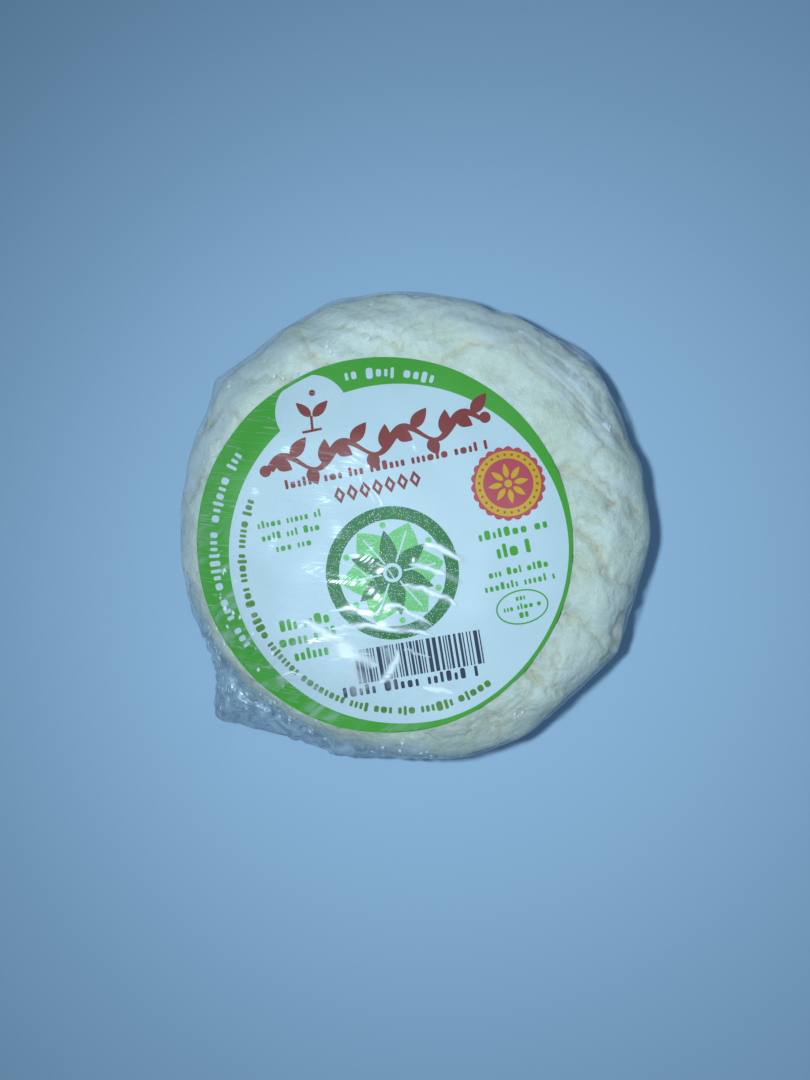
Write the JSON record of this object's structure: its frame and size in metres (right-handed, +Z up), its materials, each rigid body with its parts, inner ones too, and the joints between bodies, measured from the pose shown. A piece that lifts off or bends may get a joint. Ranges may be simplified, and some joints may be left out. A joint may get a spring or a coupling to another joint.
{
  "type": "wrapped picodon goat cheese",
  "caption": "Small round goat's cheese with a wrinkled rind and a round paper label on top, wrapped in tight clear film with a gathered fold at one side.",
  "frame": {"origin": "on the axis of the cheese, at the plane the wrapped cheese rests on", "axes": "+Z up along the axis of the cheese, +X to the right and +Y away from the reader of the label"},
  "size_m": [0.067, 0.0671, 0.0205],
  "materials": {
    "cheese": "soft, moist wrinkled rind",
    "label": "printed coated paper",
    "film": "clear glossy film"
  },
  "bodies": {
    "root": {"cheese": "cheese", "label": "label", "film": "film"}
  },
  "joints": []
}
